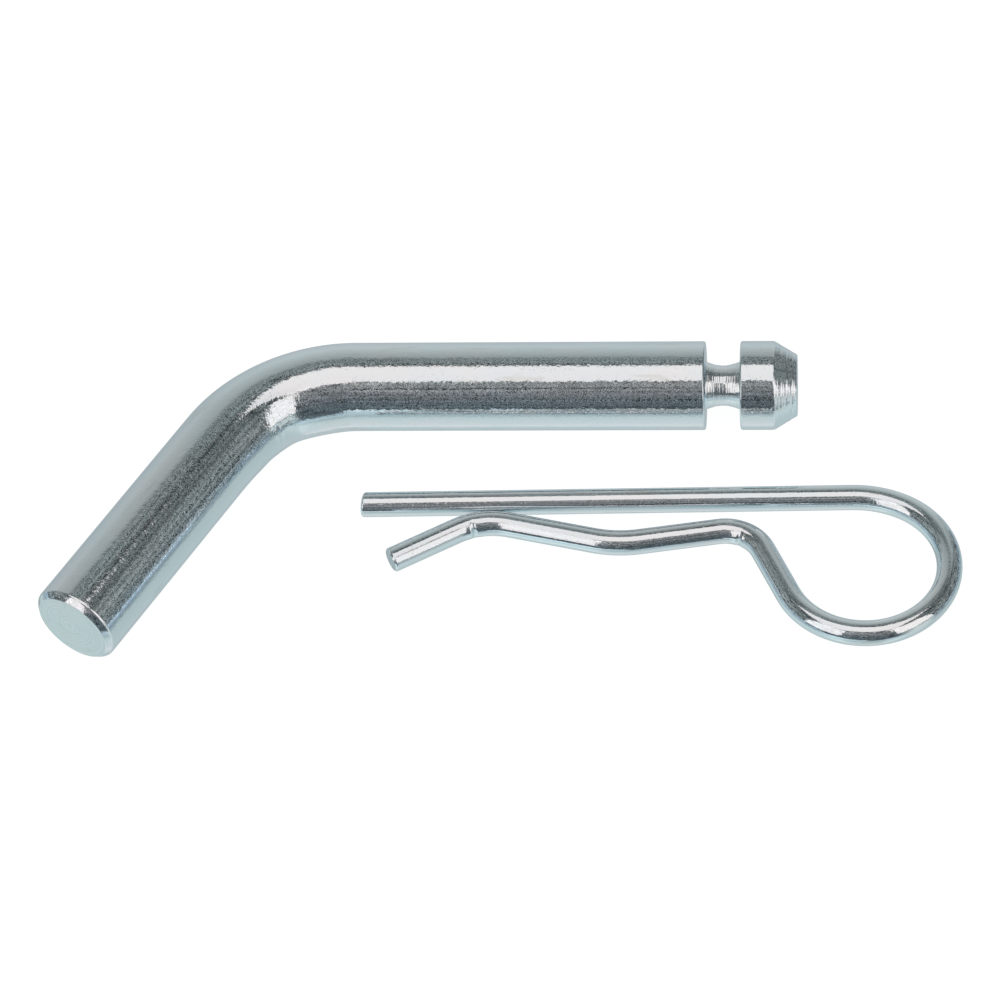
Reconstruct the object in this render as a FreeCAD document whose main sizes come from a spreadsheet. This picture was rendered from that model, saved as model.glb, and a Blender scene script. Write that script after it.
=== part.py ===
import FreeCAD, Part

import math
import os

import Sketcher

# A bent hitch pin and its spring clip, lying side by side on a flat surface. Millimetres, +Z up.
#
# The origin is on the pin's axis, at the middle of the straight shank. +X runs along the shank to
# the grooved head, and the handle bends away from it towards -Y. The clip lies beside the pin,
# lower than the pin's axis, because its thinner wire rests on the same surface.
#
# The clip is one length of spring wire. Here it is three solids that meet face to face: the
# straight leg, the loop that flexes, and the sprung leg with its crest, seat, nose and flared tip.

SIZES = [
    # The pin is a round bar, bent once, with a grooved and tapered head.
    ("pin_diameter", 15.875, "round bar, 5/8 inch"),
    ("shank_length", 62.9, "straight shank, from the bend to the groove"),
    ("bend_radius", 26.1, "to the bar's centre line"),
    ("bend_angle", 61.9, "degrees"),
    ("handle_length", 46.6, "straight handle, from the bend to its end face"),
    ("handle_chamfer", 1.0, "round the handle's end face"),
    ("groove_width", 6.3, "clip groove, along the shank"),
    ("neck_diameter", 7.2, "groove floor, at its waist"),
    ("neck_wall_diameter", 8.7, "groove floor, where it meets the groove's walls"),
    ("groove_edge_chamfer", 0.25, "on both rims of the groove"),
    ("head_length", 10.1, "from the groove to the end face"),
    ("head_taper_length", 4.1, "tapered lead-in, along the head"),
    ("head_end_diameter", 10.9, "flat end face of the head"),
    # The clip is a chain of straights and bends, followed from the free end of its straight leg.
    ("wire_diameter", 4.45, "round spring wire"),
    ("wire_end_chamfer", 0.3, "deburred edge at both ends of the wire"),
    ("leg_length", 86.6, "straight leg, up to the loop"),
    ("entry_radius", 18.3, "loop, first arc and the widest"),
    ("entry_angle", 28.8, "degrees"),
    ("crown_radius", 15.0, "loop, arc round its far side"),
    ("crown_angle", 83.6, "degrees"),
    ("return_radius", 14.55, "loop, arc back to the sprung leg"),
    ("return_angle", 133.8, "degrees"),
    ("ramp_length", 10.8, "straight, from the loop up to the crest"),
    ("crest_radius", 7.35, "crest, where the sprung leg turns along the straight one"),
    ("crest_angle", 74.6, "degrees"),
    ("descent_length", 13.95, "straight, from the crest down to the seat"),
    ("seat_radius", 20.75, "shallow seat, which closes on the pin's neck"),
    ("seat_angle", 22.6, "degrees"),
    ("rise_length", 15.45, "straight, from the seat up to the nose"),
    ("nose_radius", 12.65, "nose, the narrowest place between the legs"),
    ("nose_angle", 44.1, "degrees"),
    ("tip_length", 12.85, "flared tip, which leads the clip on to the pin"),
    # The clip lies beside the pin.
    ("clip_start_x", -29.0, "free end of the straight leg, along the shank"),
    ("clip_start_y", -22.75, "free end of the straight leg, across the shank"),
    ("clip_heading", 1.0, "straight leg, degrees from +X"),
]
SIZE = {name: value for name, value, note in SIZES}

# The wire's links in order. A straight (0) has a length. A bend has a radius and an angle, and it
# turns left (1) or right (-1).
WIRE = [
    ("leg", 0),
    ("entry", -1),
    ("crown", -1),
    ("return", -1),
    ("ramp", 0),
    ("crest", 1),
    ("descent", 0),
    ("seat", -1),
    ("rise", 0),
    ("nose", 1),
    ("tip", 0),
]
LOOP_START = 1
LOOP_END = 4

UP = FreeCAD.Vector(0, 0, 1)
ORIGIN = FreeCAD.Vector(0, 0, 0)
NEAR = 1e-3

# How the sketcher numbers a curve's points, and the sketch's own origin point and X axis.
START = 1
END = 2
CENTRE = 3
SKETCH_ORIGIN = (-1, 1)
SKETCH_X_AXIS = -1


def make_sheet(doc):
    sheet = doc.addObject("Spreadsheet::Sheet", "Sizes")
    for row, (name, value, note) in enumerate(SIZES, start=1):
        sheet.set(f"A{row}", name)
        sheet.set(f"B{row}", str(value))
        sheet.setAlias(f"B{row}", name)
        sheet.set(f"C{row}", note)
    doc.recompute()


def make_body(doc, label):
    body = doc.addObject("PartDesign::Body", label)
    body.Label = label
    return body


def add_sketch(body, name, plane):
    sketch = body.newObject("Sketcher::SketchObject", name)
    origin_plane = next(f for f in body.Origin.OriginFeatures if f.Role == plane)
    sketch.AttachmentSupport = (origin_plane, [""])
    sketch.MapMode = "FlatFace"
    return sketch


def join(sketch, kind, *where):
    sketch.addConstraint(Sketcher.Constraint(kind, *where))


def bind(sketch, kind, *where, value, to):
    """Adds a dimension that follows an expression of the sheet's cells."""
    index = sketch.addConstraint(Sketcher.Constraint(kind, *where, value))
    sketch.setExpression(f"Constraints[{index}]", to)


def draw_round(sketch, size):
    """Draws a circle about the sketch's origin with a diameter from the sheet."""
    circle = sketch.addGeometry(Part.Circle(ORIGIN, UP, SIZE[size] / 2))
    join(sketch, "Coincident", circle, CENTRE, *SKETCH_ORIGIN)
    bind(sketch, "Diameter", circle, value=SIZE[size], to=f"Sizes.{size}")


def edges_about(body, centre, diameter):
    """Names of the body's circular edges of that diameter about that point."""
    names = []
    for number, edge in enumerate(body.Tip.Shape.Edges, start=1):
        curve = edge.Curve
        if not isinstance(curve, Part.Circle):
            continue
        if curve.Center.distanceToPoint(centre) < NEAR and abs(2 * curve.Radius - diameter) < NEAR:
            names.append(f"Edge{number}")
    return names


def add_chamfer(body, name, edges, size):
    base = body.Tip
    chamfer = body.newObject("PartDesign::Chamfer", name)
    chamfer.Base = (base, edges)
    chamfer.setExpression("Size", size)
    return chamfer


# The pin

def add_shank(body):
    """The bar's straight run, from the bend to the head's end face."""
    section = add_sketch(body, "ShankSection", "YZ_Plane")
    section.setExpression("AttachmentOffset.Base.z", "-Sizes.shank_length / 2")
    draw_round(section, "pin_diameter")
    shank = body.newObject("PartDesign::Pad", "Shank")
    shank.Profile = section
    shank.setExpression("Length", "Sizes.shank_length + Sizes.groove_width + Sizes.head_length")


def add_bend(body):
    """The bar's section, turned about a vertical axis beside the shank's end."""
    section = add_sketch(body, "BendSection", "YZ_Plane")
    section.setExpression("AttachmentOffset.Base.z", "-Sizes.shank_length / 2")
    draw_round(section, "pin_diameter")
    radius = SIZE["bend_radius"]
    low = FreeCAD.Vector(-radius, -radius, 0)
    high = FreeCAD.Vector(-radius, radius, 0)
    axis = section.addGeometry(Part.LineSegment(low, high), True)
    join(section, "Symmetric", axis, START, axis, END, SKETCH_X_AXIS)
    bind(section, "DistanceX", axis, START, *SKETCH_ORIGIN, value=radius, to="Sizes.bend_radius")
    bind(section, "Distance", axis, value=2 * radius, to="2 * Sizes.bend_radius")
    bend = body.newObject("PartDesign::Revolution", "Bend")
    bend.Profile = section
    bend.ReferenceAxis = (section, ["Axis0"])
    bend.setExpression("Angle", "Sizes.bend_angle")


def add_handle(body):
    """The straight handle, padded from the bend's free end."""
    bend = body.Tip
    ends = [number for number, face in enumerate(bend.Shape.Faces)
            if isinstance(face.Surface, Part.Plane)]
    free_end = min(ends, key=lambda number: bend.Shape.Faces[number].CenterOfMass.y)
    handle = body.newObject("PartDesign::Pad", "Handle")
    handle.Profile = (bend, [f"Face{free_end + 1}"])
    handle.setExpression("Length", "Sizes.handle_length")


def handle_end():
    """The middle of the handle's end face."""
    turn = math.radians(SIZE["bend_angle"])
    radius = SIZE["bend_radius"]
    length = SIZE["handle_length"]
    back = radius * math.sin(turn) + length * math.cos(turn)
    aside = radius * (1 - math.cos(turn)) + length * math.sin(turn)
    return FreeCAD.Vector(-SIZE["shank_length"] / 2 - back, -aside, 0)


def add_clip_groove(body):
    """A groove with square walls and a saddle-shaped floor, turned about the shank's axis."""
    near_x = SIZE["shank_length"] / 2
    far_x = near_x + SIZE["groove_width"]
    wall = SIZE["neck_wall_diameter"] / 2
    waist = SIZE["neck_diameter"] / 2
    outside = SIZE["pin_diameter"]
    corners = [(near_x, wall), (far_x, wall), (far_x, outside), (near_x, outside)]
    corners = [FreeCAD.Vector(x, y, 0) for x, y in corners]
    middle = FreeCAD.Vector((near_x + far_x) / 2, waist, 0)
    profile = add_sketch(body, "GrooveProfile", "XY_Plane")
    floor = profile.addGeometry(Part.Arc(corners[0], middle, corners[1]))
    far_wall = profile.addGeometry(Part.LineSegment(corners[1], corners[2]))
    top = profile.addGeometry(Part.LineSegment(corners[2], corners[3]))
    near_wall = profile.addGeometry(Part.LineSegment(corners[3], corners[0]))
    outline = [floor, far_wall, top, near_wall]
    for side, following in zip(outline, outline[1:] + outline[:1]):
        join(profile, "Coincident", side, END, following, START)
    join(profile, "Vertical", far_wall)
    join(profile, "Vertical", near_wall)
    join(profile, "Horizontal", top)
    bind(profile, "DistanceX", *SKETCH_ORIGIN, floor, START, value=near_x,
         to="Sizes.shank_length / 2")
    bind(profile, "DistanceX", floor, START, floor, END, value=far_x - near_x,
         to="Sizes.groove_width")
    for corner in (START, END):
        bind(profile, "DistanceY", *SKETCH_ORIGIN, floor, corner, value=wall,
             to="Sizes.neck_wall_diameter / 2")
    bind(profile, "DistanceY", *SKETCH_ORIGIN, top, START, value=outside, to="Sizes.pin_diameter")
    dip = "(Sizes.neck_wall_diameter - Sizes.neck_diameter)"
    bind(profile, "Radius", floor, value=profile.Geometry[floor].Radius,
         to=f"Sizes.groove_width ^ 2 / (4 * {dip}) + {dip} / 4")
    groove = body.newObject("PartDesign::Groove", "ClipGroove")
    groove.Profile = profile
    groove.ReferenceAxis = (profile, ["H_Axis"])
    groove.Angle = 360


def add_pin_edges(doc, body):
    """The rims of the groove, the handle's edge and the head's taper."""
    diameter = SIZE["pin_diameter"]
    near_wall = FreeCAD.Vector(SIZE["shank_length"] / 2, 0, 0)
    far_wall = near_wall + FreeCAD.Vector(SIZE["groove_width"], 0, 0)
    head_end = far_wall + FreeCAD.Vector(SIZE["head_length"], 0, 0)
    rims = edges_about(body, near_wall, diameter) + edges_about(body, far_wall, diameter)
    add_chamfer(body, "GrooveRims", rims, "Sizes.groove_edge_chamfer")
    doc.recompute()
    rim = edges_about(body, handle_end(), diameter)
    add_chamfer(body, "HandleEdge", rim, "Sizes.handle_chamfer")
    doc.recompute()
    rim = edges_about(body, head_end, diameter)
    taper = add_chamfer(body, "HeadTaper", rim, "Sizes.head_taper_length")
    taper.ChamferType = "Two distances"
    taper.setExpression("Size2", "(Sizes.pin_diameter - Sizes.head_end_diameter) / 2")
    doc.recompute()


def make_pin(doc):
    body = make_body(doc, "hitch_pin")
    add_shank(body)
    add_bend(body)
    doc.recompute()
    add_handle(body)
    doc.recompute()
    bar_volume = body.Shape.Volume
    add_clip_groove(body)
    doc.recompute()
    ring_area = math.pi / 4 * (SIZE["pin_diameter"] ** 2 - SIZE["neck_wall_diameter"] ** 2)
    if bar_volume - body.Shape.Volume < ring_area * SIZE["groove_width"]:
        raise RuntimeError("the clip groove cuts too little")
    add_pin_edges(doc, body)
    return body


# The clip

def draw_straight(sketch, name, at, heading, guide):
    """Draws one straight of the wire. Returns its number, its two ends in order and where it ends."""
    length = SIZE[f"{name}_length"]
    end = at + heading * length
    line = sketch.addGeometry(Part.LineSegment(at, end), guide)
    bind(sketch, "Distance", line, value=length, to=f"Sizes.{name}_length")
    return line, (START, END), end


def draw_bend(sketch, name, side, at, heading, guide):
    """Draws one bend of the wire, the same way. An arc always runs anticlockwise in a sketch."""
    radius = SIZE[f"{name}_radius"]
    angle = SIZE[f"{name}_angle"]
    centre = at + FreeCAD.Rotation(UP, 90 * side).multVec(heading) * radius
    middle = centre + FreeCAD.Rotation(UP, side * angle / 2).multVec(at - centre)
    end = centre + FreeCAD.Rotation(UP, side * angle).multVec(at - centre)
    arc = sketch.addGeometry(Part.Arc(at, middle, end), guide)
    bind(sketch, "Radius", arc, value=radius, to=f"Sizes.{name}_radius")
    bind(sketch, "Angle", arc, value=math.radians(angle), to=f"Sizes.{name}_angle * 1 deg")
    return arc, (START, END) if side > 0 else (END, START), end


def draw_wire(sketch, first, last):
    """Draws the wire's centre line from the sketch's origin along +X, up to its link `last`.

    The links before `first` belong to other pieces, so they are construction lines.
    """
    at = ORIGIN
    heading = FreeCAD.Vector(1, 0, 0)
    before = None
    for number, (name, side) in enumerate(WIRE[:last]):
        guide = number < first
        if side == 0:
            link, ends, at = draw_straight(sketch, name, at, heading, guide)
        else:
            link, ends, at = draw_bend(sketch, name, side, at, heading, guide)
            heading = FreeCAD.Rotation(UP, side * SIZE[f"{name}_angle"]).multVec(heading)
        if before:
            join(sketch, "Tangent", *before, link, ends[0])
        else:
            join(sketch, "Coincident", link, ends[0], *SKETCH_ORIGIN)
            join(sketch, "Horizontal", link)
        before = (link, ends[1])
    return at


def link_length(name, side):
    if side == 0:
        return SIZE[f"{name}_length"]
    return SIZE[f"{name}_radius"] * math.radians(SIZE[f"{name}_angle"])


def sweep_wire(doc, body, first, last):
    """Sweeps the wire's section along its links from `first` up to `last`. Returns where it ends."""
    path = add_sketch(body, f"{body.Label}_path", "XY_Plane")
    end = draw_wire(path, first, last)
    doc.recompute()
    section = body.newObject("Sketcher::SketchObject", f"{body.Label}_section")
    section.AttachmentSupport = (path, ["Edge1"])
    section.MapMode = "NormalToEdge"
    draw_round(section, "wire_diameter")
    pipe = body.newObject("PartDesign::AdditivePipe", f"{body.Label}_wire")
    pipe.Profile = section
    pipe.Spine = (path, [])
    doc.recompute()
    length = sum(link_length(name, side) for name, side in WIRE[first:last])
    volume = math.pi / 4 * SIZE["wire_diameter"] ** 2 * length
    if abs(body.Shape.Volume / volume - 1) > NEAR:
        raise RuntimeError(f"{body.Label} isn't its section times its length")
    return end


def deburr(body, end):
    rim = edges_about(body, end, SIZE["wire_diameter"])
    add_chamfer(body, f"{body.Label}_end", rim, "Sizes.wire_end_chamfer")


def lay_beside_pin(body):
    """Lays a piece of the clip on the surface that the pin rests on."""
    body.Placement.Rotation = FreeCAD.Rotation(UP, SIZE["clip_heading"])
    body.setExpression("Placement.Rotation.Angle", "Sizes.clip_heading")
    body.setExpression("Placement.Base.x", "Sizes.clip_start_x")
    body.setExpression("Placement.Base.y", "Sizes.clip_start_y")
    body.setExpression("Placement.Base.z", "(Sizes.wire_diameter - Sizes.pin_diameter) / 2")


def make_straight_leg(doc):
    body = make_body(doc, "clip_straight_leg")
    section = add_sketch(body, "clip_straight_leg_section", "YZ_Plane")
    draw_round(section, "wire_diameter")
    wire = body.newObject("PartDesign::Pad", "clip_straight_leg_wire")
    wire.Profile = section
    wire.setExpression("Length", "Sizes.leg_length")
    doc.recompute()
    deburr(body, ORIGIN)
    lay_beside_pin(body)
    return body


def make_loop(doc):
    body = make_body(doc, "clip_loop")
    sweep_wire(doc, body, LOOP_START, LOOP_END)
    lay_beside_pin(body)
    return body


def make_sprung_leg(doc):
    body = make_body(doc, "clip_sprung_leg")
    end = sweep_wire(doc, body, LOOP_END, len(WIRE))
    deburr(body, end)
    lay_beside_pin(body)
    return body


def check(doc, bodies):
    """Stops on a failed object, or on a piece that isn't one valid solid."""
    for item in doc.Objects:
        if "Invalid" in item.State or "Error" in item.State:
            raise RuntimeError(f"{item.Name} failed")
    for body in bodies:
        if body.Shape.isNull() or not body.Shape.isValid() or len(body.Shape.Solids) != 1:
            raise RuntimeError(f"{body.Label} isn't one valid solid")


def main():
    doc = FreeCAD.newDocument("HitchPinAndClip")
    make_sheet(doc)
    bodies = [make_pin(doc), make_straight_leg(doc), make_loop(doc), make_sprung_leg(doc)]
    doc.recompute()
    check(doc, bodies)
    os.makedirs("parts", exist_ok=True)
    for body in bodies:
        body.Shape.exportStep(f"parts/{body.Label}.step")
        print(f"{body.Label}: {body.Shape.Volume:.1f} mm3")


main()
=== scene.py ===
import math

import bpy
import numpy as np
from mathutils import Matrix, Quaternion, Vector


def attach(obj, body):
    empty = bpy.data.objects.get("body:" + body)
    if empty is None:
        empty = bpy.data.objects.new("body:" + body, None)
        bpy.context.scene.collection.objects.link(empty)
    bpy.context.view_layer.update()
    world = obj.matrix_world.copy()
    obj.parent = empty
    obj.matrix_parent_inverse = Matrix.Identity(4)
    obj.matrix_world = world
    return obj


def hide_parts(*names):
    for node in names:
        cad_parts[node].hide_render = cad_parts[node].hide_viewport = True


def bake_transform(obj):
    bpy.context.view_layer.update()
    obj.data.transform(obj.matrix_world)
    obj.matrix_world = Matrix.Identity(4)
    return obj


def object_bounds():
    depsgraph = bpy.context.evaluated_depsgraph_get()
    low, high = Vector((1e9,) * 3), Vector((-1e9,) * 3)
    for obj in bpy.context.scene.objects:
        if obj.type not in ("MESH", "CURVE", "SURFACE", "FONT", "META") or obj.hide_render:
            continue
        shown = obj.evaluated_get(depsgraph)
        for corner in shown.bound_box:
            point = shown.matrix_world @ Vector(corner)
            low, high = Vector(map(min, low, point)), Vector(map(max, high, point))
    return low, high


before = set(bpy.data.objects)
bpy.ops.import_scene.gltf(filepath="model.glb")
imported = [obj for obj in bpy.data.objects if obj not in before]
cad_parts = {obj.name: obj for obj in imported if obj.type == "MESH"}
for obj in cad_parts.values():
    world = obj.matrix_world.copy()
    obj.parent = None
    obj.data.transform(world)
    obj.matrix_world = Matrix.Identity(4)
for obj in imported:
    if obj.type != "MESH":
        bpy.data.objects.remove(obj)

# A bent hitch pin and its spring clip in bright zinc plate, on a pale surface. Metres, +Z up.
# The origin is on the pin's axis at the middle of its straight shank, and +X runs to its head.

cad_low, cad_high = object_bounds()
MM = 0.001
FLOOR_Z = cad_low.z

# ---------------------------------------------------------------- sizes
# The bars, bends and lengths are the CAD model's. The small fillets show only here.
PIN_RADIUS = 7.9375 * MM
BEND_START = -31.45 * MM
BEND_RADIUS = 26.1 * MM
BEND_ANGLE = math.radians(61.9)
BEND_END = BEND_START - BEND_RADIUS * BEND_ANGLE
HANDLE_END = BEND_END - 46.6 * MM
HANDLE_CHAMFER = 1.0 * MM
GROOVE_START = 31.45 * MM
GROOVE_END = 37.75 * MM
NECK_RADIUS = 3.6 * MM
NECK_WALL_RADIUS = 4.35 * MM
# Fillet of the groove's rims, and how far the shank's rim leans over the groove.
RIM_FILLET = 0.36 * MM
RIM_LEAN = 0.05 * MM
TAPER_START = 43.75 * MM
HEAD_END = 47.85 * MM
HEAD_END_RADIUS = 5.45 * MM

WIRE_RADIUS = 2.225 * MM
WIRE_CHAMFER = 0.3 * MM
WIRE_START = Vector((-29.0 * MM, -22.75 * MM))
WIRE_HEADING = math.radians(1.0)
# Name, length or bend radius (mm), bend angle (degrees), and the turn: left 1, right -1.
WIRE_LINKS = [
    ("leg", 86.6, 0, 0),
    ("entry", 18.3, 28.8, -1),
    ("crown", 15.0, 83.6, -1),
    ("return", 14.55, 133.8, -1),
    ("ramp", 10.8, 0, 0),
    ("crest", 7.35, 74.6, 1),
    ("descent", 13.95, 0, 0),
    ("seat", 20.75, 22.6, -1),
    ("rise", 15.45, 0, 0),
    ("nose", 12.65, 44.1, 1),
    ("tip", 12.85, 0, 0),
]

# ---------------------------------------------------------------- mesh helpers
PIN_AROUND = 160
WIRE_AROUND = 72
FILLET_STEPS = 5


def fillet(before, corner, after, radius):
    """Points of a small arc in place of a profile's corner, all as (run, radius)."""
    a = np.array(before) - corner
    b = np.array(after) - corner
    a_length, b_length = np.linalg.norm(a), np.linalg.norm(b)
    a, b = a / a_length, b / b_length
    half = 0.5 * math.acos(np.clip(a @ b, -1, 1))
    cut = min(radius / math.tan(half), 0.45 * a_length, 0.45 * b_length)
    radius = cut * math.tan(half)
    middle = (a + b) / np.linalg.norm(a + b)
    centre = corner + middle * radius / math.sin(half)
    first = corner + a * cut - centre
    last = corner + b * cut - centre
    arc = [first + (last - first) * k / FILLET_STEPS for k in range(FILLET_STEPS + 1)]
    return [centre + p * radius / np.linalg.norm(p) for p in arc]


def soften(corners):
    """A profile of (run, radius, fillet radius) corners as points, with each fillet worked out."""
    flat = [np.array(c[:2]) for c in corners]
    points = [flat[0]]
    for k in range(1, len(flat) - 1):
        if corners[k][2]:
            points += fillet(flat[k - 1], flat[k], flat[k + 1], corners[k][2])
        else:
            points.append(flat[k])
    return points + [flat[-1]]


def refine(points, longest):
    """Splits a profile's long steps, so that no step is longer than longest(run) says."""
    out = [points[0]]
    for a, b in zip(points, points[1:]):
        middle = 0.5 * (a[0] + b[0])
        count = max(1, math.ceil(np.linalg.norm(b - a) / longest(middle)))
        out += [a + (b - a) * k / count for k in range(1, count + 1)]
    return np.array(out)


def ring_mesh(name, profile, radii, place, around):
    """A closed round bar from rings of vertices. profile is (run, radius) with a point on the
    axis at each end, radii the rings' own radius at each vertex, and place(run, side, up) says
    where a point of the straightened bar goes. Each vertex keeps that straightened point."""
    runs = profile[1:-1, 0]
    angles = np.linspace(0, 2 * math.pi, around, endpoint=False)
    side = radii * np.cos(angles)
    up = radii * np.sin(angles)
    run = np.repeat(runs[:, None], around, 1)
    straight = np.stack([run, side, up], 2).reshape(-1, 3)
    ends = np.array([[profile[0, 0], 0, 0], [profile[-1, 0], 0, 0]])
    straight = np.concatenate([straight, ends])
    rings = len(runs)
    faces = []
    for i in range(rings - 1):
        for j in range(around):
            k = (j + 1) % around
            near, far = i * around, (i + 1) * around
            faces.append((near + j, near + k, far + k, far + j))
    first, last = rings * around, rings * around + 1
    for j in range(around):
        k = (j + 1) % around
        faces.append((first, k, j))
        faces.append((last, (rings - 1) * around + j, (rings - 1) * around + k))
    mesh = bpy.data.meshes.new(name)
    mesh.from_pydata([tuple(p) for p in place(straight)], [], faces)
    keep = mesh.attributes.new("bar_co", "FLOAT_VECTOR", "POINT")
    keep.data.foreach_set("vector", straight.astype(np.float32).ravel())
    mesh.polygons.foreach_set("use_smooth", [True] * len(mesh.polygons))
    mesh.update()
    obj = bpy.data.objects.new(name, mesh)
    bpy.context.scene.collection.objects.link(obj)
    return obj


def bump_at(run, angle, at_run, at_angle, run_width, angle_width):
    """A smooth hill, 1 at its top, on a bar's surface."""
    turn = np.angle(np.exp(1j * (angle - at_angle)))
    return np.exp(-((run - at_run) / run_width) ** 2 - (turn / angle_width) ** 2)


def smooth_random(rows, columns, waves, blur, seed):
    """Random numbers about 0, with this many waves round each row, and blurred over this many
    rows."""
    source = np.random.default_rng(seed)
    kinds = np.fft.rfft(source.normal(size=(rows, columns)), axis=1)
    kinds[:, waves + 1:] = 0
    values = np.fft.irfft(kinds, columns, axis=1)
    reach = np.arange(-9, 10)
    kernel = np.exp(-0.5 * (reach / blur) ** 2)
    values = np.apply_along_axis(np.convolve, 0, values, kernel, "same")
    return values / values.std()


# ---------------------------------------------------------------- the pin
def place_on_pin(straight):
    """Bends the straightened bar back to the pin's shape."""
    run, side, up = straight.T
    angle = np.clip((BEND_START - run) / BEND_RADIUS, 0, BEND_ANGLE)
    beyond = np.minimum(run - BEND_END, 0)
    shank = np.maximum(run, BEND_START)
    x = shank - BEND_RADIUS * np.sin(angle) + beyond * np.cos(angle) - side * np.sin(angle)
    y = BEND_RADIUS * (np.cos(angle) - 1) + beyond * np.sin(angle) + side * np.cos(angle)
    return np.stack([x, y, up], 1)


def neck_corners():
    """The groove's floor, a shallow saddle between its two walls."""
    middle = 0.5 * (GROOVE_START + GROOVE_END)
    half = 0.5 * (GROOVE_END - GROOVE_START)
    rise = NECK_WALL_RADIUS - NECK_RADIUS
    steps = np.linspace(-0.9, 0.9, 13)
    return [(middle + half * t, NECK_RADIUS + rise * t * t, 0) for t in steps]


# The bend's dent, the metal pushed up on each side of it, and the crease at its edge: angle round
# the bend (degrees), height and reach along the bar (mm), and reach round the bar (radians).
BEND_MARKS = [
    (32, -0.34, 3.3, 0.95),
    (12, 0.15, 4.0, 0.90),
    (57, 0.27, 3.6, 0.90),
    (42, -0.045, 0.35, 0.55),
    (44, 0.035, 0.40, 0.55),
]
PUCKERS = 70


def pin_profile():
    """The pin's half outline as (run, radius) points, from the handle's end to the head's."""
    corners = [
        (HANDLE_END, 0, 0),
        (HANDLE_END, PIN_RADIUS - HANDLE_CHAMFER, 0.22 * MM),
        (HANDLE_END + HANDLE_CHAMFER, PIN_RADIUS, 0.9 * MM),
        (GROOVE_START + RIM_LEAN, PIN_RADIUS, RIM_FILLET),
        (GROOVE_START, NECK_WALL_RADIUS, 0.3 * MM),
        *neck_corners(),
        (GROOVE_END, NECK_WALL_RADIUS, 0.3 * MM),
        (GROOVE_END, PIN_RADIUS, RIM_FILLET),
        (TAPER_START, PIN_RADIUS, 1.2 * MM),
        (HEAD_END, HEAD_END_RADIUS, 0.25 * MM),
        (HEAD_END, 0, 0),
    ]

    def longest(run):
        if run > GROOVE_START:
            return 0.07 * MM
        if BEND_END < run < BEND_START:
            return 0.12 * MM
        return 0.5 * MM

    return refine(soften(corners), longest)


def tool_marks(run):
    """Turning marks in the groove and on the taper, as a change of radius in metres."""
    rows = len(run)
    fine = smooth_random(rows, PIN_AROUND, 0, 1.1, 3)
    coarse = smooth_random(rows, PIN_AROUND, 0, 3.5, 5)
    broken = smooth_random(rows, PIN_AROUND, 10, 1.5, 4)
    neck = (run > GROOVE_START + 0.3 * MM) & (run < GROOVE_END - 0.3 * MM)
    taper = (run > TAPER_START + 0.3 * MM) & (run < HEAD_END - 0.2 * MM)
    marks = neck * (0.017 * fine + 0.012 * coarse + 0.003 * broken)
    marks = marks + taper * (0.008 * fine + 0.008 * coarse + 0.008 * broken)
    return np.clip(marks, -0.05, 0.02) * MM


def bend_wrinkle(run, angle):
    """The dent that bending leaves inside the bend, with the metal it pushes up on each side,
    and a fine crease at the dent's edge. In metres."""
    inside = math.pi + 0.15
    shape = 0
    for degrees, height, along, across in BEND_MARKS:
        at = BEND_START - BEND_RADIUS * math.radians(degrees)
        shape = shape + height * bump_at(run, angle, at, inside, along * MM, across)
    source = np.random.default_rng(11)
    for _ in range(PUCKERS):
        at = BEND_START - BEND_RADIUS * math.radians(source.uniform(18, 52))
        round_at = math.pi + source.uniform(-0.9, 0.6)
        height = source.uniform(-0.016, 0.016)
        shape = shape + height * bump_at(run, angle, at, round_at, 0.55 * MM, 0.09)
    return shape * MM


def pin_radii(profile):
    """The radius at each vertex of the pin's rings."""
    run = profile[1:-1, 0][:, None]
    base = profile[1:-1, 1][:, None]
    angle = np.linspace(0, 2 * math.pi, PIN_AROUND, endpoint=False)[None, :]
    return base + tool_marks(run) + bend_wrinkle(run, angle)


def make_pin():
    profile = pin_profile()
    pin = ring_mesh("pin_bar", profile, pin_radii(profile), place_on_pin, PIN_AROUND)
    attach(pin, "pin")
    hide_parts("hitch_pin")
    return pin


# ---------------------------------------------------------------- the clip
def wire_line():
    """The wire's centre line: (run, x, y, heading) at each point, and each link's start."""
    x, y = WIRE_START
    heading = WIRE_HEADING
    run = 0.0
    rows = [(run, x, y, heading)]
    starts = {}
    for name, size, degrees, turn in WIRE_LINKS:
        starts[name] = run
        angle = turn * math.radians(degrees)
        length = size * MM if turn == 0 else abs(angle) * size * MM
        count = math.ceil(length / (0.4 * MM))
        for _ in range(count):
            step = length / count
            bend = angle / count
            chord = step if turn == 0 else 2 * size * MM * math.sin(abs(bend) / 2)
            x += chord * math.cos(heading + bend / 2)
            y += chord * math.sin(heading + bend / 2)
            heading += bend
            run += step
            rows.append((run, x, y, heading))
    starts["end"] = run
    return np.array(rows), starts


WIRE_LINE, WIRE_AT = wire_line()
# The straight leg's free end is sheared a little out of square.
WIRE_LEAN = 0.28 * MM
WIRE_LEAN_REACH = 1.6 * MM


def place_on_wire(straight):
    """Bends the straightened wire back to the clip's shape."""
    run, side, up = straight.T
    near_end = np.clip(1 - run / WIRE_LEAN_REACH, 0, 1)
    run = run + WIRE_LEAN * near_end * side / WIRE_RADIUS
    along = np.minimum(run, 0)
    x, y, heading = (np.interp(run, WIRE_LINE[:, 0], WIRE_LINE[:, k]) for k in (1, 2, 3))
    x = x - side * np.sin(heading) + along * np.cos(heading)
    y = y + side * np.cos(heading) + along * np.sin(heading)
    return np.stack([x, y, FLOOR_Z + WIRE_RADIUS + up], 1)


# Where the bending tool left a small pinch inside a bend: distance along the wire from the bend's
# start, depth and reach along the wire (mm), and its angle round the wire (radians).
PINCHES = [
    ("nose", 6.6, 0.36, 0.42, 0.22),
    ("crest", 5.0, 0.22, 0.45, 0.0),
]


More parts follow.
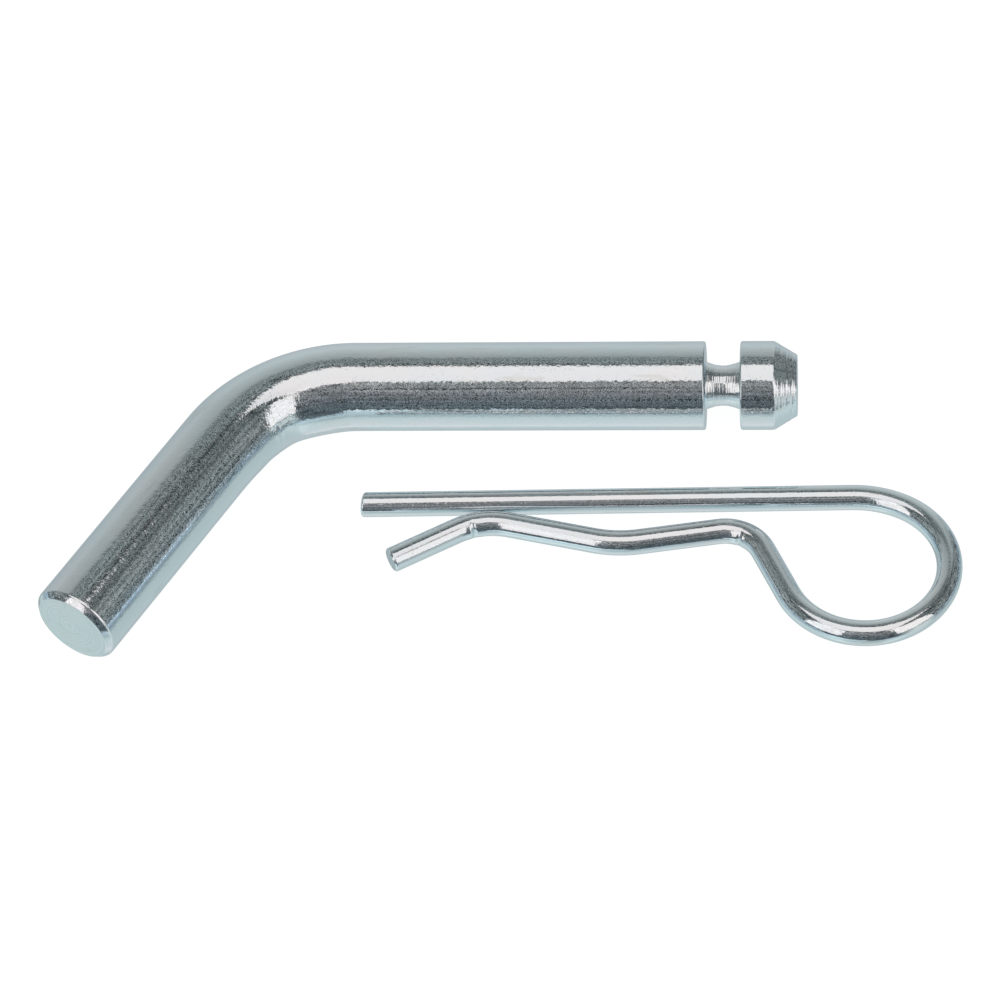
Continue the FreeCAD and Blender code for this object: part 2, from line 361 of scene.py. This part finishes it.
def pinch_places():
    """How far along the wire each pinch is."""
    return [WIRE_AT[bend] + along * MM for bend, along, *_ in PINCHES]


def wire_profile():
    """The wire's half outline as (run, radius) points, with closer rings at its pinches."""
    end = WIRE_AT["end"]
    corners = [
        (0, 0, 0),
        (0, WIRE_RADIUS - WIRE_CHAMFER, 0.12 * MM),
        (WIRE_CHAMFER, WIRE_RADIUS, 0.3 * MM),
    ]
    for place in sorted(pinch_places()):
        corners += [(place - 1.5 * MM, WIRE_RADIUS, 0), (place + 1.5 * MM, WIRE_RADIUS, 0)]
    corners += [
        (end - WIRE_CHAMFER, WIRE_RADIUS, 0.3 * MM),
        (end, WIRE_RADIUS - WIRE_CHAMFER, 0.12 * MM),
        (end, 0, 0),
    ]

    def longest(run):
        near = min(abs(run - place) for place in pinch_places())
        return 0.1 * MM if near < 1.5 * MM else 0.3 * MM

    return refine(soften(corners), longest)


def wire_radii(profile):
    """The wire's radius, with the pinches inside two of its bends."""
    run = profile[1:-1, 0][:, None]
    radii = profile[1:-1, 1][:, None]
    angle = np.linspace(0, 2 * math.pi, WIRE_AROUND, endpoint=False)[None, :]
    for place, (_, _, depth, reach, turn) in zip(pinch_places(), PINCHES):
        radii = radii - depth * MM * bump_at(run, angle, place, turn, reach * MM, 0.75)
    return radii


def bend_over_loop(clip):
    """Bakes the clip's placement into its mesh and works out each point's share of the loop's
    length, which nothing uses.
    """
    start, end = WIRE_AT["entry"], WIRE_AT["ramp"]
    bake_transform(clip)
    straight = np.zeros(len(clip.data.vertices) * 3, np.float32)
    clip.data.attributes["bar_co"].data.foreach_get("vector", straight)
    share = np.clip((straight[0::3] - start) / (end - start), 0, 1)
    share = share * share * (3 - 2 * share)


def make_clip():
    profile = wire_profile()
    clip = ring_mesh("spring_clip", profile, wire_radii(profile), place_on_wire, WIRE_AROUND)
    bend_over_loop(clip)
    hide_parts("clip_straight_leg", "clip_loop", "clip_sprung_leg")
    return clip


# ---------------------------------------------------------------- material helpers
class Nodes:
    """Short calls for a material's or world's nodes. A value is a number or another's output."""

    def __init__(self, tree):
        self.tree = tree
        tree.nodes.clear()

    def add(self, kind, output=0, inputs=None, **settings):
        node = self.tree.nodes.new(kind)
        for name, value in settings.items():
            setattr(node, name, value)
        for key, value in (inputs or {}).items():
            self.set(node, key, value)
        return node if output is None else node.outputs[output]

    def set(self, node, key, value):
        if isinstance(value, bpy.types.NodeSocket):
            self.tree.links.new(value, node.inputs[key])
        else:
            node.inputs[key].default_value = value

    def math(self, operation, a, b=0.0):
        return self.add("ShaderNodeMath", inputs={0: a, 1: b}, operation=operation)

    def times(self, vector, factors):
        settings = {"operation": "MULTIPLY"}
        return self.add("ShaderNodeVectorMath", inputs={0: vector, 1: factors}, **settings)

    def scale(self, vector, factor):
        inputs = {0: vector, "Scale": factor}
        return self.add("ShaderNodeVectorMath", inputs=inputs, operation="SCALE")

    def noise(self, vector, scale, detail=2.0, roughness=0.5, distortion=0.0):
        inputs = {"Vector": vector, "Scale": scale, "Detail": detail}
        inputs |= {"Roughness": roughness, "Distortion": distortion}
        return self.add("ShaderNodeTexNoise", inputs=inputs)

    def step(self, value, low, high, to_low=0.0, to_high=1.0):
        inputs = {0: value, 1: low, 2: high, 3: to_low, 4: to_high}
        return self.add("ShaderNodeMapRange", inputs=inputs, interpolation_type="SMOOTHSTEP")

    def mix(self, share, a, b):
        inputs = {"Factor": share, 6: a, 7: b}
        return self.add("ShaderNodeMix", output=2, inputs=inputs, data_type="RGBA")

    def ramp(self, value, stops):
        node = self.add("ShaderNodeValToRGB", output=None, inputs={0: value})
        elements = node.color_ramp.elements
        elements[0].position, elements[1].position = 0.0, 1.0
        while len(elements) < len(stops):
            elements.new(0.5)
        for element, (position, colour) in zip(elements, stops):
            element.position = position
            element.color = (*colour, 1.0)
        return node.outputs[0]


ZINC = (0.754, 0.832, 0.858, 1.0)
ZINC_COOL = (0.728, 0.829, 0.864, 1.0)
ZINC_WARM = (0.780, 0.827, 0.850, 1.0)
SMUDGE = (0.650, 0.708, 0.696, 1.0)
# At a glancing angle the plate mirrors less than polished metal.
ZINC_EDGE = (0.885, 0.925, 0.946, 1.0)


def scratches(n, bar, size, seed):
    """A mask of fine curved lines, broken into short lengths."""
    moved = n.add("ShaderNodeVectorMath", inputs={0: bar, 1: (seed, seed, seed)}, operation="ADD")
    field = n.noise(moved, 1 / size, detail=1.0, distortion=1.5)
    off = n.math("ABSOLUTE", n.math("SUBTRACT", field, 0.5))
    line = n.step(off, 0.0, 0.030, 1.0, 0.0)
    where = n.step(n.noise(moved, 1.6 / size, detail=2.0), 0.56, 0.62)
    return n.math("MULTIPLY", line, where)


# Sizes in the plate, and how deep its drawn lines and scratches are.
PATCH_SIZE = 5 * MM
SMUDGE_SIZE = 1.6 * MM
CLOUD_SIZE = 1.8 * MM
DRAWN_LINE = 0.5 * MM
DRAWN_DEPTH = 0.0008 * MM
SCRATCH_DEPTH = 0.004 * MM
SCRATCH_ROUGHNESS = 0.32


def plate_tint(n, bar, drawn):
    """The plate's colour: faint cool and warm patches, and smudges along the bar."""
    patches = n.noise(n.times(bar, (0.35, 1, 1)), 1 / PATCH_SIZE, detail=3.0)
    smudged = n.noise(n.times(bar, (0.15, 1, 1)), 1 / SMUDGE_SIZE, detail=4.0, distortion=0.4)
    tint = n.mix(n.step(patches, 0.35, 0.65), ZINC_COOL, ZINC_WARM)
    tint = n.mix(n.step(drawn, 0.3, 0.7, 0.1, 0.6), tint, ZINC)
    return n.mix(n.step(smudged, 0.60, 0.72, 0.0, 0.75), tint, SMUDGE)


def all_scratches(n, bar, line_sizes):
    """One mask for the scratches of every size."""
    lines = scratches(n, bar, line_sizes[0], 0.31)
    for k, size in enumerate(line_sizes[1:], 1):
        lines = n.math("MAXIMUM", lines, scratches(n, bar, size, 0.31 + 0.17 * k))
    return lines


def plate_roughness(n, bar, haze, fine, lines):
    """Nearly clear plate, with hazy specks and scratches."""
    cloudy = n.noise(bar, 1 / CLOUD_SIZE, detail=2.0)
    speck = n.step(n.math("ADD", fine, n.math("MULTIPLY", cloudy, 0.3)), 0.86, 0.98)
    rough = n.step(speck, 0.0, 1.0, haze[0], haze[1])
    return n.math("MAXIMUM", rough, n.math("MULTIPLY", lines, SCRATCH_ROUGHNESS))


def plate_height(n, bar, grain, grain_height, fine, drawn, lines):
    """The plate's relief in metres: crystals, gentle waves, drawn lines and scratches."""
    crystals = n.noise(bar, 1 / grain, detail=1.0, roughness=0.5)
    waves = n.noise(bar, 0.25 / grain, detail=1.0)
    height = n.math("MULTIPLY", crystals, grain_height)
    layers = [
        (fine, 0.20 * grain_height),
        (waves, 1.4 * grain_height),
        (drawn, DRAWN_DEPTH),
        (lines, -SCRATCH_DEPTH),
    ]
    for layer, depth in layers:
        height = n.math("ADD", height, n.math("MULTIPLY", layer, depth))
    return height


def zinc(name, grain, grain_height, haze, line_sizes, marks):
    """Bright zinc plate: a near mirror with fine crystal grain, in patches of faint colour.
    grain is the crystals' size, haze the roughness of clear plate and of its specks, line_sizes
    the scratches' lengths, and marks adds the piece's own tool marks."""
    material = bpy.data.materials.new(name)
    material.use_nodes = True
    n = Nodes(material.node_tree)
    bar = n.add("ShaderNodeAttribute", output=1, attribute_name="bar_co")
    axes = n.add("ShaderNodeSeparateXYZ", output=None, inputs={0: bar})
    fine = n.noise(bar, 2.3 / grain, detail=2.0, roughness=0.6)
    drawn = n.noise(n.times(bar, (0.03, 1, 1)), 1 / DRAWN_LINE, detail=3.0)
    lines = all_scratches(n, bar, line_sizes)
    marks_height, marks_tone = marks(n, bar, axes)

    tint = n.mix(marks_tone, plate_tint(n, bar, drawn), SMUDGE)
    rough = plate_roughness(n, bar, haze, fine, lines)
    height = plate_height(n, bar, grain, grain_height, fine, drawn, lines)
    height = n.math("ADD", height, marks_height)
    surface = n.add("ShaderNodeBump", inputs={"Strength": 1.0, "Distance": 1.0, "Height": height})
    shader = n.add(
        "ShaderNodeBsdfPrincipled",
        inputs={
            "Base Color": tint,
            "Metallic": 1.0,
            "Roughness": rough,
            "Specular Tint": ZINC_EDGE,
            "Normal": surface,
        },
    )
    n.add("ShaderNodeOutputMaterial", output=None, inputs={"Surface": shader})
    return material


# The turning tool's lines and their depth, and the rings on the handle's end face.
TURNED_LINE = 0.16 * MM
TURNED_DEPTH = 0.030 * MM
RING_SPACING = 0.30 * MM
RING_DEPTH = 0.010 * MM


def pin_marks(n, bar, axes):
    """Tool marks in the groove and on the taper, and turning rings on the handle's end face:
    their height in metres, and how much they darken the face."""
    run = axes.outputs[0]
    turned = n.noise(n.times(bar, (1, 0.04, 0.04)), 1 / TURNED_LINE, detail=3.0)
    in_groove = n.step(run, GROOVE_START - 0.1 * MM, GROOVE_START + 0.1 * MM)
    past_groove = n.step(run, GROOVE_END - 0.1 * MM, GROOVE_END + 0.1 * MM)
    on_taper = n.step(run, TAPER_START - 0.1 * MM, TAPER_START + 0.2 * MM)
    where = n.math("ADD", n.math("SUBTRACT", in_groove, past_groove), on_taper)
    grooves = n.math("MULTIPLY", n.math("MULTIPLY", turned, where), TURNED_DEPTH)

    centre = (0.0, 0.6 * MM, 0.4 * MM)
    points = {0: n.times(bar, (0, 1, 1)), 1: centre}
    distance = n.add("ShaderNodeVectorMath", output=1, inputs=points, operation="DISTANCE")
    spread = n.math("DIVIDE", distance, RING_SPACING)
    rings = n.add("ShaderNodeTexNoise", inputs={"W": spread, "Scale": 1.0}, noise_dimensions="1D")
    on_face = n.step(run, HANDLE_END, HANDLE_END + 0.04 * MM, 1.0, 0.0)
    ring_height = n.math("MULTIPLY", n.math("MULTIPLY", rings, on_face), RING_DEPTH)
    ring_tone = n.math("MULTIPLY", n.step(rings, 0.42, 0.60, 0.0, 0.7), on_face)
    return n.math("ADD", grooves, ring_height), ring_tone


def wire_marks(n, bar, axes):
    """The rough sheared end faces: their height in metres, and their darker patches."""
    run = axes.outputs[0]
    torn = n.noise(bar, 1 / (0.6 * MM), detail=4.0, roughness=0.7)
    first = n.step(run, 0.0, 0.05 * MM, 1.0, 0.0)
    last = n.step(run, WIRE_AT["end"] - 0.05 * MM, WIRE_AT["end"])
    on_end = n.math("ADD", first, last)
    tone = n.math("MULTIPLY", n.step(torn, 0.35, 0.65, 0.0, 0.8), on_end)
    return n.math("MULTIPLY", n.math("MULTIPLY", torn, on_end), 0.05 * MM), tone


# ---------------------------------------------------------------- studio
def directed(elevation):
    """A colour ramp's position for an elevation in degrees: 0 straight down, 1 straight up."""
    return 0.5 + 0.5 * math.sin(math.radians(elevation))


# What stands round the object, as (elevation in degrees, light's colour).
NEAR_TABLE = [
    (-90, (0.90, 0.93, 0.94)),
    (-77, (1.08, 1.10, 1.11)),
    (-66, (0.96, 1.00, 1.01)),
    (-41, (0.82, 0.92, 0.92)),
    (-33, (0.56, 0.67, 0.68)),
    (-26, (0.70, 0.82, 0.88)),
]
TABLE_EDGE = [
    (-21, (0.70, 0.83, 0.90)),
    (-18.5, (0.72, 0.84, 0.90)),
    (-17, (1.08, 1.20, 1.24)),
    (-15, (0.96, 1.08, 1.12)),
    (-12.8, (0.11, 0.13, 0.145)),
]
SHADED_EDGE = [
    (-23, (0.55, 0.66, 0.74)),
    (-20, (0.16, 0.19, 0.21)),
]
DARK_WALL = [
    (-8, (0.095, 0.115, 0.125)),
    (10, (0.105, 0.12, 0.13)),
    (30, (0.175, 0.175, 0.185)),
    (50, (0.25, 0.245, 0.245)),
    (90, (0.28, 0.28, 0.28)),
]
FRONT_ROOM = NEAR_TABLE + TABLE_EDGE + DARK_WALL
RIGHT_FRONT_ROOM = NEAR_TABLE + SHADED_EDGE + DARK_WALL
SIDE_ROOM = [
    (-90, (0.82, 0.88, 0.88)),
    (-60, (0.80, 0.90, 0.90)),
    (-27, (0.76, 0.88, 0.88)),
    (-20, (0.50, 0.60, 0.63)),
    (-15, (0.36, 0.46, 0.54)),
    (-12, (0.62, 0.76, 0.90)),
    (-9, (0.52, 0.64, 0.76)),
    (-7, (0.22, 0.26, 0.28)),
    (15, (0.19, 0.205, 0.205)),
    (32, (0.22, 0.235, 0.235)),
    (46, (0.135, 0.145, 0.145)),
    (58, (0.115, 0.125, 0.125)),
    (90, (0.30, 0.30, 0.30)),
]
# The table reaches higher on the right, almost up to the softbox.
RIGHT_SIDE_ROOM = [
    (-90, (0.82, 0.88, 0.88)),
    (-60, (0.82, 0.92, 0.92)),
    (-40, (0.92, 1.02, 1.02)),
    (-10, (1.04, 1.10, 1.10)),
    (1, (0.94, 1.00, 1.00)),
    (4, (0.22, 0.25, 0.26)),
    (15, (0.19, 0.205, 0.205)),
    (32, (0.22, 0.235, 0.235)),
    (46, (0.135, 0.145, 0.145)),
    (58, (0.115, 0.125, 0.125)),
    (90, (0.30, 0.30, 0.30)),
]
BACK_ROOM = [
    (-90, (0.80, 0.86, 0.87)),
    (-50, (0.62, 0.68, 0.70)),
    (-10, (0.78, 0.82, 0.83)),
    (9, (0.80, 0.83, 0.83)),
    (28, (0.66, 0.68, 0.67)),
    (43, (0.54, 0.56, 0.56)),
    (50, (0.42, 0.44, 0.44)),
    (54, (0.17, 0.185, 0.185)),
    (68, (0.17, 0.185, 0.185)),
    (90, (0.30, 0.30, 0.30)),
]


# Scales the room and the softboxes together, but not the floor.
ROOM_LIGHT = 0.77
# How much brighter the table is to the left and right of the front than straight in front.
TABLE_SIDE_GLOW = 0.30
# The front and sides are lighter by this share at the far left, and darker at the far right.
DARKER_TO_RIGHT = -0.12
CLUTTER_SCALE = 25.0


def room(n, height, stops):
    """The light from one side of the room at this height."""
    return n.ramp(height, [(directed(e), colour) for e, colour in stops])


def one_plus(n, value, factor):
    """1 + value * factor."""
    total = n.math("MULTIPLY_ADD", value, factor)
    n.set(total.node, 2, 1.0)
    return total


def with_clutter(n, colour, clutter, low_edge, high_edge):
    """Adds clutter between two heights, given as masks."""
    cluttered = n.math("MULTIPLY", low_edge, high_edge)
    return n.mix(cluttered, colour, n.scale(colour, clutter))


def front_light(n, x, z, height):
    """The table in front, its bright edge and the dark wall. On the right the edge is shaded."""
    right = n.step(x, -0.02, 0.10)
    colour = n.mix(right, room(n, height, FRONT_ROOM), room(n, height, RIGHT_FRONT_ROOM))
    aside = n.step(n.math("ABSOLUTE", x), 0.15, 0.45)
    low = n.step(z, -0.20, -0.10, 1.0, 0.0)
    return n.scale(colour, one_plus(n, n.math("MULTIPLY", aside, low), TABLE_SIDE_GLOW))


def dark_light(n, x, z, height, behind, clutter):
    """The front and the sides, with clutter above the table."""
    ahead = n.step(behind, -0.45, -0.20, 1.0, 0.0)
    right_ahead = n.math("MULTIPLY", n.step(x, 0.25, 0.50), ahead)
    sides = n.mix(right_ahead, room(n, height, SIDE_ROOM), room(n, height, RIGHT_SIDE_ROOM))
    front = n.step(behind, -0.90, -0.60, 1.0, 0.0)
    colour = n.mix(front, sides, front_light(n, x, z, height))
    colour = n.scale(colour, one_plus(n, x, DARKER_TO_RIGHT))
    lowered = n.math("SUBTRACT", z, n.math("MULTIPLY", right_ahead, 0.24))
    low_edge = n.step(lowered, -0.18, -0.14)
    high_edge = n.step(z, 0.86, 0.90, 1.0, 0.0)
    return with_clutter(n, colour, clutter, low_edge, high_edge)


def back_light(n, x, z, height, clutter):
    """The grey sweep behind, a little darker on the left, with clutter only near the top."""
    colour = n.scale(room(n, height, BACK_ROOM), n.step(x, -0.60, -0.20, 0.86, 1.0))
    low_edge = n.step(z, 0.80, 0.83)
    high_edge = n.step(z, 0.955, 0.975, 1.0, 0.0)
    return with_clutter(n, colour, clutter, low_edge, high_edge)


def make_world():
    """What the metal mirrors: a white table below, a grey sweep behind, and a dark cluttered room
    in front and at the sides. The camera itself sees plain white."""
    world = bpy.data.worlds.new("studio")
    bpy.context.scene.world = world
    world.use_nodes = True
    n = Nodes(world.node_tree)
    direction = n.add("ShaderNodeTexCoord", output="Generated")
    x, y, z = n.add("ShaderNodeSeparateXYZ", output=None, inputs={0: direction}).outputs
    flat = n.times(direction, (1, 1, 0))
    level = n.add("ShaderNodeVectorMath", output=1, inputs={0: flat}, operation="LENGTH")
    behind = n.math("DIVIDE", y, n.math("MAXIMUM", level, 0.001))
    height = n.math("MULTIPLY_ADD", z, 0.5)
    n.set(height.node, 2, 0.5)
    clutter = n.step(n.noise(direction, CLUTTER_SCALE, detail=1.0), 0.45, 0.59, 0.10, 3.25)

    narrowed = n.step(x, 0.10, 0.40, 0.0, 0.36)
    back = n.step(n.math("SUBTRACT", behind, narrowed), 0.37, 0.68)
    dark = dark_light(n, x, z, height, behind, clutter)
    colour = n.mix(back, dark, back_light(n, x, z, height, clutter))
    colour = n.scale(colour, ROOM_LIGHT)
    seen = n.add("ShaderNodeLightPath", output="Is Camera Ray")
    colour = n.mix(seen, colour, (1.0, 1.0, 1.0, 1.0))
    shader = n.add("ShaderNodeBackground", inputs={"Color": colour, "Strength": 1.0})
    n.add("ShaderNodeOutputWorld", output=None, inputs={"Surface": shader})


def softbox(name, place, size, colour, radiance):
    """A rectangular light that faces down until it is turned. radiance is what it shows as."""
    light = bpy.data.lights.new(name, "AREA")
    light.shape = "RECTANGLE"
    light.size, light.size_y = size
    light.color = colour
    light.energy = ROOM_LIGHT * radiance * math.pi * size[0] * size[1]
    box = bpy.data.objects.new(name, light)
    bpy.context.scene.collection.objects.link(box)
    box.location = place
    box.visible_camera = False
    return box


def upright_softbox(name, headings, elevations, colour, radiance):
    """An upright softbox one metre away that fills these headings and elevations in degrees."""
    middle = math.radians(0.5 * (headings[0] + headings[1]))
    half = math.radians(0.5 * abs(headings[1] - headings[0]))
    low, high = (math.tan(math.radians(e)) for e in elevations)
    place = (math.sin(middle), math.cos(middle), 0.5 * (low + high))
    box = softbox(name, place, (2 * math.tan(half), high - low), colour, radiance)
    box.rotation_euler = (math.radians(90), 0, math.pi - middle)
    return box


SOFTBOX_WHITE = (1.0, 0.88, 0.86)


def make_lights():
    above = (-0.015, -0.155, 1.0)
    softbox("overhead_softbox", above, (1.03, 0.782), SOFTBOX_WHITE, 1.07)
    upright_softbox("right_softbox", (109, 146.5), (5, 54), SOFTBOX_WHITE, 1.22)
    upright_softbox("left_softbox", (-160, -121), (5, 55), SOFTBOX_WHITE, 1.18)


# The floor reaches this far each way, in metres. It is lit from inside, so that it stays white.
FLOOR_REACH = 3.0
FLOOR_TONE = (0.18, 0.18, 0.18, 1.0)
FLOOR_GLOW = 0.94


def make_floor():
    """A plain white surface. The metal mirrors the world's table in its place."""
    mesh = bpy.data.meshes.new("floor")
    far = FLOOR_REACH
    corners = [(-far, -far, 0), (far, -far, 0), (far, far, 0), (-far, far, 0)]
    mesh.from_pydata(corners, [], [(0, 1, 2, 3)])
    floor = bpy.data.objects.new("floor", mesh)
    bpy.context.scene.collection.objects.link(floor)
    floor.location = (0, 0, FLOOR_Z)
    floor.visible_glossy = False
    material = bpy.data.materials.new("floor_white")
    material.use_nodes = True
    n = Nodes(material.node_tree)
    matt = n.add("ShaderNodeBsdfDiffuse", inputs={"Color": FLOOR_TONE})
    glow = n.add("ShaderNodeEmission", inputs={"Color": (1, 1, 1, 1), "Strength": FLOOR_GLOW})
    both = n.add("ShaderNodeAddShader", inputs={0: matt, 1: glow})
    n.add("ShaderNodeOutputMaterial", output=None, inputs={"Surface": both})
    mesh.materials.append(material)


# The camera stands where the photograph was taken from.
CAMERA_TARGET = Vector((-3.917, -26.457, 0.062)) * MM
CAMERA_DISTANCE = 715.3 * MM
CAMERA_AZIMUTH = math.radians(8.2)
CAMERA_ELEVATION = math.radians(50.2909)
CAMERA_ROLL = math.radians(-6.3929)
CAMERA_LENS = 146.8


def make_camera():
    data = bpy.data.cameras.new("camera")
    data.sensor_width = 36.0
    data.lens = CAMERA_LENS
    data.clip_start = 0.01
    camera = bpy.data.objects.new("camera", data)
    bpy.context.scene.collection.objects.link(camera)
    flat = math.cos(CAMERA_ELEVATION)
    back = Vector((
        flat * math.sin(CAMERA_AZIMUTH),
        -flat * math.cos(CAMERA_AZIMUTH),
        math.sin(CAMERA_ELEVATION),
    ))
    camera.location = CAMERA_TARGET + CAMERA_DISTANCE * back
    camera.rotation_mode = "QUATERNION"
    level = back.to_track_quat("Z", "Y")
    camera.rotation_quaternion = level @ Quaternion((0, 0, 1), CAMERA_ROLL)
    bpy.context.scene.camera = camera


make_camera()
make_world()
make_lights()
make_floor()

pin = make_pin()
pin_lines = (2.2 * MM, 1.3 * MM)
pin_plate = zinc("pin_zinc_plate", 0.50 * MM, 0.020 * MM, (0.05, 0.34), pin_lines, pin_marks)
pin.data.materials.append(pin_plate)

clip = make_clip()
clip_lines = (1.4 * MM,)
clip_plate = zinc("clip_zinc_wire", 0.42 * MM, 0.010 * MM, (0.06, 0.28), clip_lines, wire_marks)
clip.data.materials.append(clip_plate)

bpy.context.scene.view_settings.view_transform = "Standard"
